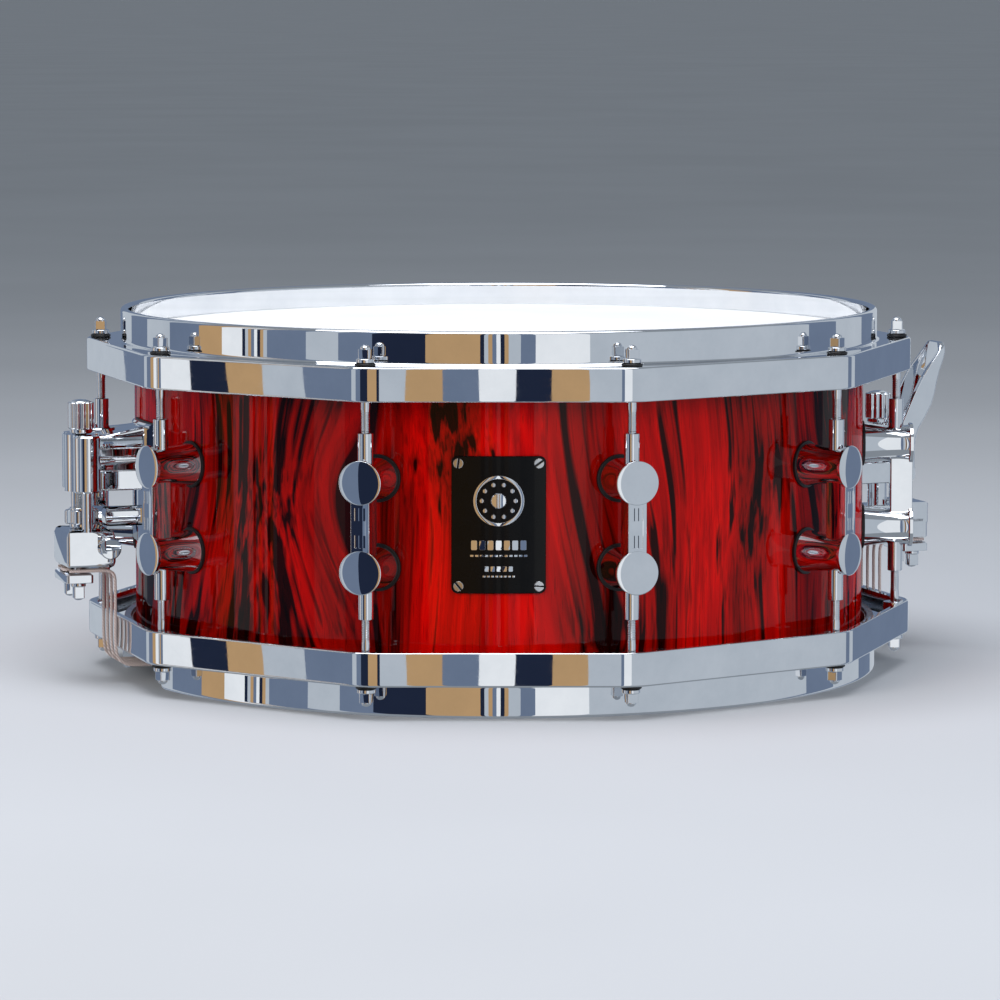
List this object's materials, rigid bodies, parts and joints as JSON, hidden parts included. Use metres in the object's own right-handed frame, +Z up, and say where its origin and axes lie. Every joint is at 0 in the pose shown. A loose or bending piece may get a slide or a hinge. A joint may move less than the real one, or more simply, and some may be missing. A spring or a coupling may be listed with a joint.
{
  "type": "snare drum",
  "caption": "Wood shell snare drum with die-cast hoops, post lugs, key-turned tension rods, throw-off strainer, adjustable butt and snare wires under the lower head.",
  "frame": {"origin": "centre of the batter head's playing face, on the drum's axis", "axes": "+Z up along the drum's axis, -Y towards the badge, +X to the player's right seen from the badge side"},
  "size_m": [0.4382, 0.391, 0.1758],
  "materials": {
    "veneer": "red and black figured veneer under high gloss clear lacquer",
    "chrome": "polished chrome plate on die-cast zinc",
    "steel": "bright plated steel",
    "aluminium": "drawn aluminium",
    "coated_film": "white coated polyester film",
    "clear_film": "thin hazy polyester film",
    "black_gloss": "black enamel on a metal plate",
    "cord": "pale braided cord"
  },
  "bodies": {
    "drum": {"shell": "veneer", "batter_hoop": "chrome", "snare_side_hoop": "chrome", "batter_head": "coated_film", "snare_head": "clear_film", "batter_flesh_hoop": "aluminium", "snare_flesh_hoop": "aluminium", "lug_01": "chrome", "lug_02": "chrome", "lug_03": "chrome", "lug_04": "chrome", "lug_05": "chrome", "lug_06": "chrome", "lug_07": "chrome", "lug_08": "chrome", "lug_09": "chrome", "lug_10": "chrome", "badge_plate": "black_gloss", "strainer_base": "chrome", "lever_pin": "steel", "butt_base": "chrome", "butt_carriage": "chrome", "butt_clamp_plate": "chrome"},
    "throw_lever": {"strainer_lever": "chrome"},
    "carriage": {"strainer_carriage": "chrome", "strainer_clamp_plate": "chrome"},
    "strainer_knob_set": {"strainer_knob": "chrome", "strainer_spindle": "steel"},
    "butt_knob_set": {"butt_knob": "chrome", "butt_spindle": "steel"},
    "butt_wheel": {"butt_lock_wheel": "chrome"},
    "snare_band": {"snare_wires": "steel", "snare_end_plate_a": "steel", "snare_end_plate_b": "steel", "snare_cord_a": "cord", "snare_cord_b": "cord"},
    "strainer_screw_a": {"strainer_clamp_screw_a": "chrome"},
    "strainer_screw_b": {"strainer_clamp_screw_b": "chrome"},
    "butt_screw_a": {"butt_clamp_screw_a": "chrome"},
    "butt_screw_b": {"butt_clamp_screw_b": "chrome"},
    "top_rod_01_set": {"top_rod_01": "chrome"},
    "top_rod_02_set": {"top_rod_02": "chrome"},
    "top_rod_03_set": {"top_rod_03": "chrome"},
    "top_rod_04_set": {"top_rod_04": "chrome"},
    "top_rod_05_set": {"top_rod_05": "chrome"},
    "top_rod_06_set": {"top_rod_06": "chrome"},
    "top_rod_07_set": {"top_rod_07": "chrome"},
    "top_rod_08_set": {"top_rod_08": "chrome"},
    "top_rod_09_set": {"top_rod_09": "chrome"},
    "top_rod_10_set": {"top_rod_10": "chrome"},
    "bottom_rod_01_set": {"bottom_rod_01": "chrome"},
    "bottom_rod_02_set": {"bottom_rod_02": "chrome"},
    "bottom_rod_03_set": {"bottom_rod_03": "chrome"},
    "bottom_rod_04_set": {"bottom_rod_04": "chrome"},
    "bottom_rod_05_set": {"bottom_rod_05": "chrome"},
    "bottom_rod_06_set": {"bottom_rod_06": "chrome"},
    "bottom_rod_07_set": {"bottom_rod_07": "chrome"},
    "bottom_rod_08_set": {"bottom_rod_08": "chrome"},
    "bottom_rod_09_set": {"bottom_rod_09": "chrome"},
    "bottom_rod_10_set": {"bottom_rod_10": "chrome"}
  },
  "joints": [
    {"name": "lever_throw", "type": "hinge", "parent": "drum", "child": "throw_lever", "pos_m": [0.19925, 0.06474, -0.0765], "axis": [-0.309, 0.9511, 0], "range_deg": [0, 90]},
    {"name": "carriage_drop", "type": "slide", "parent": "drum", "child": "carriage", "axis": [0, 0, -1], "range_m": [0, 0.007]},
    {"name": "snare_drop", "type": "hinge", "parent": "drum", "child": "snare_band", "pos_m": [-0.20258, -0.06582, -0.1104], "axis": [-0.309, 0.9511, 0], "range_deg": [0, 0.946]},
    {"name": "strainer_knob_turn", "type": "hinge", "parent": "carriage", "child": "strainer_knob_set", "pos_m": [0.19021, 0.0618, -0.044], "axis": [0, 0, 1], "continuous": true},
    {"name": "butt_knob_turn", "type": "hinge", "parent": "drum", "child": "butt_knob_set", "pos_m": [-0.19877, -0.06459, -0.038], "axis": [0, 0, 1], "continuous": true},
    {"name": "butt_wheel_turn", "type": "hinge", "parent": "drum", "child": "butt_wheel", "pos_m": [-0.19877, -0.06459, -0.086], "axis": [0, 0, 1], "continuous": true},
    {"name": "strainer_screw_a_turn", "type": "hinge", "parent": "carriage", "child": "strainer_screw_a", "pos_m": [0.20764, 0.058, -0.12], "axis": [0, 0, 1], "continuous": true},
    {"name": "strainer_screw_b_turn", "type": "hinge", "parent": "carriage", "child": "strainer_screw_b", "pos_m": [0.20208, 0.07512, -0.12], "axis": [0, 0, 1], "continuous": true},
    {"name": "butt_screw_a_turn", "type": "hinge", "parent": "drum", "child": "butt_screw_a", "pos_m": [-0.20536, -0.05726, -0.12], "axis": [0, 0, 1], "continuous": true},
    {"name": "butt_screw_b_turn", "type": "hinge", "parent": "drum", "child": "butt_screw_b", "pos_m": [-0.19979, -0.07438, -0.12], "axis": [0, 0, 1], "continuous": true},
    {"name": "top_rod_01_turn", "type": "hinge", "parent": "drum", "child": "top_rod_01_set", "pos_m": [0.1943, 0, -0.003], "axis": [0, 0, 1], "continuous": true},
    {"name": "top_rod_02_turn", "type": "hinge", "parent": "drum", "child": "top_rod_02_set", "pos_m": [0.15719, 0.11421, -0.003], "axis": [0, 0, 1], "continuous": true},
    {"name": "top_rod_03_turn", "type": "hinge", "parent": "drum", "child": "top_rod_03_set", "pos_m": [0.06004, 0.18479, -0.003], "axis": [0, 0, 1], "continuous": true},
    {"name": "top_rod_04_turn", "type": "hinge", "parent": "drum", "child": "top_rod_04_set", "pos_m": [-0.06004, 0.18479, -0.003], "axis": [0, 0, 1], "continuous": true},
    {"name": "top_rod_05_turn", "type": "hinge", "parent": "drum", "child": "top_rod_05_set", "pos_m": [-0.15719, 0.11421, -0.003], "axis": [0, 0, 1], "continuous": true},
    {"name": "top_rod_06_turn", "type": "hinge", "parent": "drum", "child": "top_rod_06_set", "pos_m": [-0.1943, 0, -0.003], "axis": [0, 0, 1], "continuous": true},
    {"name": "top_rod_07_turn", "type": "hinge", "parent": "drum", "child": "top_rod_07_set", "pos_m": [-0.15719, -0.11421, -0.003], "axis": [0, 0, 1], "continuous": true},
    {"name": "top_rod_08_turn", "type": "hinge", "parent": "drum", "child": "top_rod_08_set", "pos_m": [-0.06004, -0.18479, -0.003], "axis": [0, 0, 1], "continuous": true},
    {"name": "top_rod_09_turn", "type": "hinge", "parent": "drum", "child": "top_rod_09_set", "pos_m": [0.06004, -0.18479, -0.003], "axis": [0, 0, 1], "continuous": true},
    {"name": "top_rod_10_turn", "type": "hinge", "parent": "drum", "child": "top_rod_10_set", "pos_m": [0.15719, -0.11421, -0.003], "axis": [0, 0, 1], "continuous": true},
    {"name": "bottom_rod_01_turn", "type": "hinge", "parent": "drum", "child": "bottom_rod_01_set", "pos_m": [0.1943, 0, -0.1508], "axis": [0, 0, 1], "continuous": true},
    {"name": "bottom_rod_02_turn", "type": "hinge", "parent": "drum", "child": "bottom_rod_02_set", "pos_m": [0.15719, 0.11421, -0.1508], "axis": [0, 0, 1], "continuous": true},
    {"name": "bottom_rod_03_turn", "type": "hinge", "parent": "drum", "child": "bottom_rod_03_set", "pos_m": [0.06004, 0.18479, -0.1508], "axis": [0, 0, 1], "continuous": true},
    {"name": "bottom_rod_04_turn", "type": "hinge", "parent": "drum", "child": "bottom_rod_04_set", "pos_m": [-0.06004, 0.18479, -0.1508], "axis": [0, 0, 1], "continuous": true},
    {"name": "bottom_rod_05_turn", "type": "hinge", "parent": "drum", "child": "bottom_rod_05_set", "pos_m": [-0.15719, 0.11421, -0.1508], "axis": [0, 0, 1], "continuous": true},
    {"name": "bottom_rod_06_turn", "type": "hinge", "parent": "drum", "child": "bottom_rod_06_set", "pos_m": [-0.1943, 0, -0.1508], "axis": [0, 0, 1], "continuous": true},
    {"name": "bottom_rod_07_turn", "type": "hinge", "parent": "drum", "child": "bottom_rod_07_set", "pos_m": [-0.15719, -0.11421, -0.1508], "axis": [0, 0, 1], "continuous": true},
    {"name": "bottom_rod_08_turn", "type": "hinge", "parent": "drum", "child": "bottom_rod_08_set", "pos_m": [-0.06004, -0.18479, -0.1508], "axis": [0, 0, 1], "continuous": true},
    {"name": "bottom_rod_09_turn", "type": "hinge", "parent": "drum", "child": "bottom_rod_09_set", "pos_m": [0.06004, -0.18479, -0.1508], "axis": [0, 0, 1], "continuous": true},
    {"name": "bottom_rod_10_turn", "type": "hinge", "parent": "drum", "child": "bottom_rod_10_set", "pos_m": [0.15719, -0.11421, -0.1508], "axis": [0, 0, 1], "continuous": true}
  ],
  "couplings": [
    {"joint": "carriage_drop", "follows": "lever_throw", "m_per_rad": 0.0044562},
    {"joint": "snare_drop", "follows": "lever_throw", "ratio": 0.010402}
  ]
}
